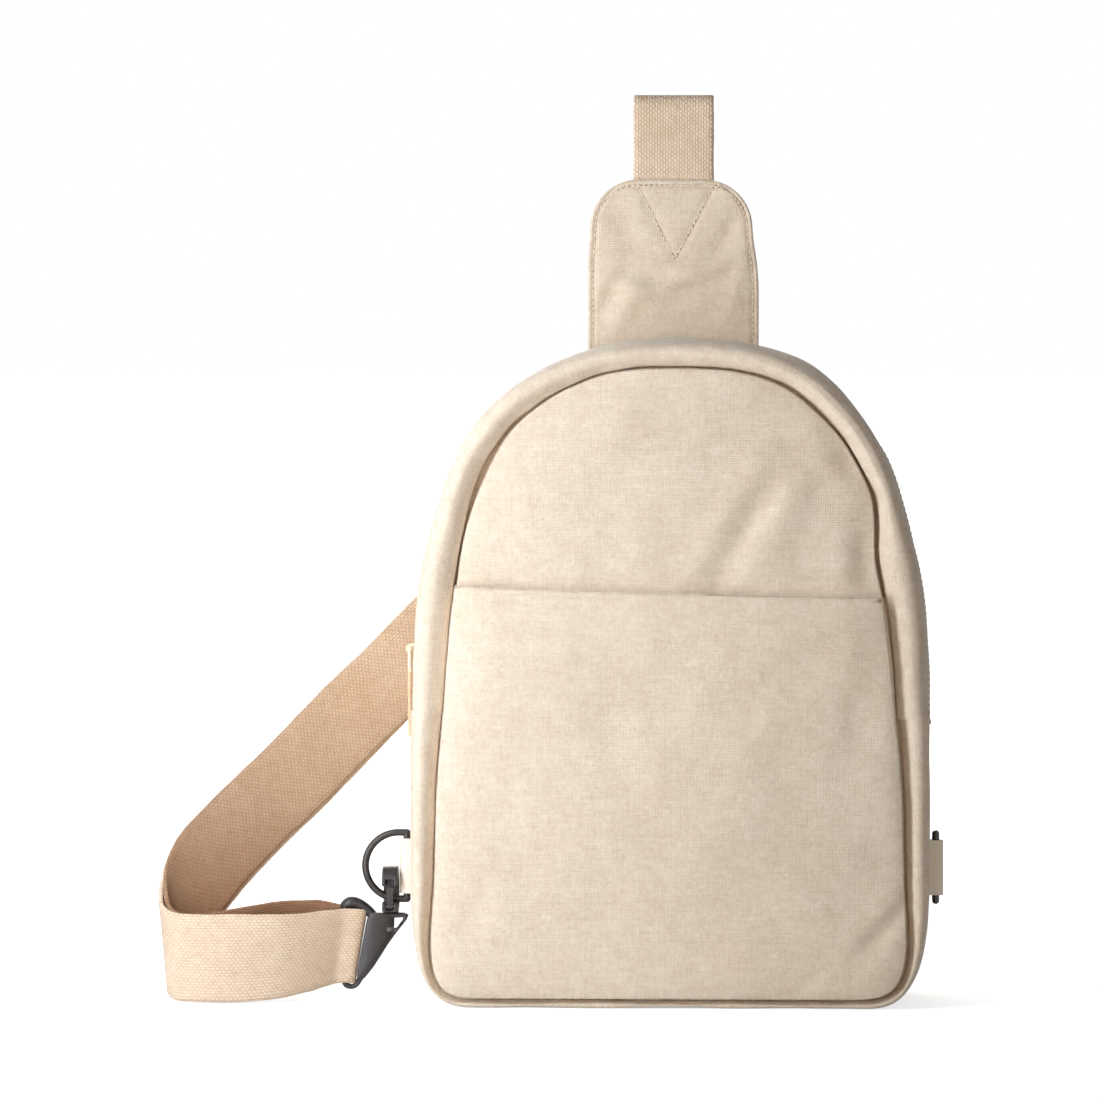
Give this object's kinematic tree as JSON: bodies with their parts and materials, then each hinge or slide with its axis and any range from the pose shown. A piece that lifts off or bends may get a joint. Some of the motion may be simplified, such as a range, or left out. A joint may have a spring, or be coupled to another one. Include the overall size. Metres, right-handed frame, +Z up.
{
  "type": "sling bag",
  "caption": "Round-topped canvas sling bag with a zipped body, an open slip pocket, a shoulder tab, an adjustable webbing strap and a swivel snap hook on a side D-ring.",
  "frame": {"origin": "middle of the bottom face, on the ground", "axes": "+Z up, +Y towards the back panel, +X to the right as seen from the front"},
  "size_m": [0.3297, 0.0994, 0.38],
  "materials": {
    "canvas": "woven oatmeal cotton canvas, matte",
    "binding_tape": "plain cotton tape, matte",
    "zip_tape": "herringbone zipper tape, matte",
    "zip_teeth": "moulded cream teeth, satin",
    "webbing": "ribbed cotton webbing, matte",
    "slider_paint": "cream enamel, satin",
    "pull_cord": "twisted cord, matte",
    "pull_cap": "smooth white moulding",
    "black_plastic": "moulded acetal, satin",
    "black_wire": "black enamel, satin",
    "pin_steel": "blackened steel, satin"
  },
  "bodies": {
    "bag": {"front_panel": "canvas", "back_panel": "canvas", "lower_gusset": "canvas", "zip_gusset_front": "canvas", "zip_gusset_back": "canvas", "pocket_panel": "canvas", "pocket_hem": "canvas", "tab_front": "canvas", "tab_back": "canvas", "ring_loop_left": "canvas", "ring_loop_right": "canvas", "zip_end_tabs": "canvas", "front_binding": "binding_tape", "back_binding": "binding_tape", "cross_seam_tapes": "binding_tape", "zip_tape_front": "zip_tape", "zip_tape_back": "zip_tape", "zip_teeth_front": "zip_teeth", "zip_teeth_back": "zip_teeth", "zip_stops": "zip_teeth", "strap_run": "webbing", "strap_return": "webbing"},
    "slider": {"slider_body": "slider_paint", "slider_bail": "slider_paint"},
    "pull": {"pull_link": "slider_paint", "pull_cord": "pull_cord", "pull_end": "pull_cap"},
    "adjuster": {"strap_adjuster": "black_plastic", "strap_end_loop": "webbing"},
    "ring_left": {"d_ring_left": "black_wire"},
    "ring_right": {"d_ring_right": "black_wire"},
    "hook_loop": {"hook_base": "black_plastic"},
    "hook": {"hook_body": "black_plastic", "swivel_pin": "pin_steel", "gate_pin": "pin_steel"},
    "gate": {"hook_gate": "black_plastic"}
  },
  "joints": [
    {"name": "zipper_run", "type": "hinge", "parent": "bag", "child": "slider", "pos_m": [0, 0, 0.1695], "axis": [0, 1, 0], "range_deg": [0, 203.07]},
    {"name": "zipper_pull", "type": "hinge", "parent": "slider", "child": "pull", "pos_m": [-0.1097, 0, 0.14711], "axis": [0, 1, 0], "range_deg": [0, 155]},
    {"name": "strap_length", "type": "slide", "parent": "bag", "child": "adjuster", "axis": [0.6947, 0, 0.7193], "range_m": [0, 0.03]},
    {"name": "ring_left_swing", "type": "hinge", "parent": "bag", "child": "ring_left", "pos_m": [-0.1111, 0, 0.0556], "axis": [0, 0, 1], "range_deg": [-13, 13]},
    {"name": "ring_right_swing", "type": "hinge", "parent": "bag", "child": "ring_right", "pos_m": [0.1111, 0, 0.0556], "axis": [0, 0, 1], "range_deg": [-170, 0]},
    {"name": "hook_swing", "type": "hinge", "parent": "bag", "child": "hook_loop", "pos_m": [-0.1345, 0, 0.022], "axis": [0.165, 0, 0.9863], "range_deg": [-6, 6]},
    {"name": "hook_swivel", "type": "hinge", "parent": "hook_loop", "child": "hook", "pos_m": [-0.118, 0, 0.033], "axis": [0, 0, 1], "range_deg": [-8, 8]},
    {"name": "gate_open", "type": "hinge", "parent": "hook", "child": "gate", "pos_m": [-0.118, -0.0062, 0.03882], "axis": [-1, 0, 0], "range_deg": [0, 15], "stiffness_Nm_per_rad": 0.004, "springref_deg": -11.46}
  ],
  "couplings": [
    {"joint": "ring_left_swing", "follows": "hook_swing", "ratio": -1.88}
  ]
}
